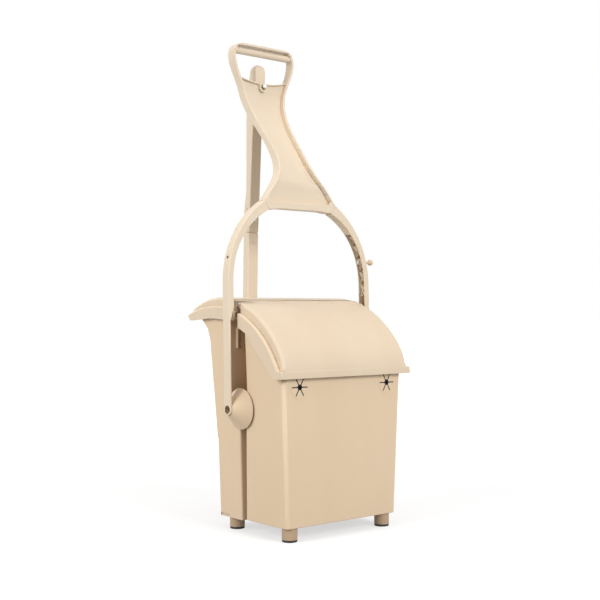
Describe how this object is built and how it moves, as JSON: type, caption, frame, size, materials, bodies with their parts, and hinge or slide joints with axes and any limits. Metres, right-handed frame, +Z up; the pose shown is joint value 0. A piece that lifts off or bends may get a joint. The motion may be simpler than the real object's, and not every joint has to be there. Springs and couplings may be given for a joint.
{
  "type": "long-handled waste bin",
  "caption": "Upright two-bucket waste bin on short feet with hinged arched lids, a tilting arched handle with a loop grip, and a rear post that latches the handle upright.",
  "frame": {"origin": "on the floor, in the middle of the bin's width, straight below the handle's pivot axis", "axes": "+Z up, the front bucket and front lid face -Y, +X to the object's own left seen from behind, the pivot axis runs along X"},
  "size_m": [0.3654, 0.3089, 0.9312],
  "materials": {
    "moulded_plastic": "matte moulded beige",
    "plain_steel": "satin",
    "bright_steel": "bright",
    "black_rubber": "matte"
  },
  "bodies": {
    "bin": {"front_bucket": "moulded_plastic", "rear_bucket": "moulded_plastic", "carrier": "moulded_plastic", "side_clips": "moulded_plastic", "bucket_screws": "plain_steel", "pivot_bolts": "plain_steel", "pivot_washers": "black_rubber", "lower_post": "moulded_plastic", "upper_post": "moulded_plastic", "post_bracket": "moulded_plastic", "bracket_screws": "plain_steel", "lock_stud": "bright_steel", "front_hinge_pin": "plain_steel", "rear_hinge_pin": "plain_steel", "feet": "moulded_plastic", "foot_pads": "black_rubber", "foot_screws": "plain_steel", "bag_inserts": "moulded_plastic", "insert_rubbers": "black_rubber"},
    "handle": {"left_hub_cone": "moulded_plastic", "right_hub_cone": "moulded_plastic", "left_arm": "moulded_plastic", "right_arm": "moulded_plastic", "handle_panel": "moulded_plastic", "arm_joint_screws": "plain_steel", "knob": "moulded_plastic", "knob_nut": "bright_steel"},
    "front_lid": {"front_lid": "moulded_plastic"},
    "rear_lid": {"rear_lid": "moulded_plastic"}
  },
  "joints": [
    {"name": "handle_tilt", "type": "hinge", "parent": "bin", "child": "handle", "pos_m": [0, 0, 0.228], "axis": [1, 0, 0], "range_deg": [0, 100]},
    {"name": "front_lid_hinge", "type": "hinge", "parent": "bin", "child": "front_lid", "pos_m": [0, -0.007, 0.41485], "axis": [-1, 0, 0], "range_deg": [0, 90]},
    {"name": "rear_lid_hinge", "type": "hinge", "parent": "bin", "child": "rear_lid", "pos_m": [0, 0.005, 0.41845], "axis": [1, 0, 0], "range_deg": [0, 70]}
  ]
}
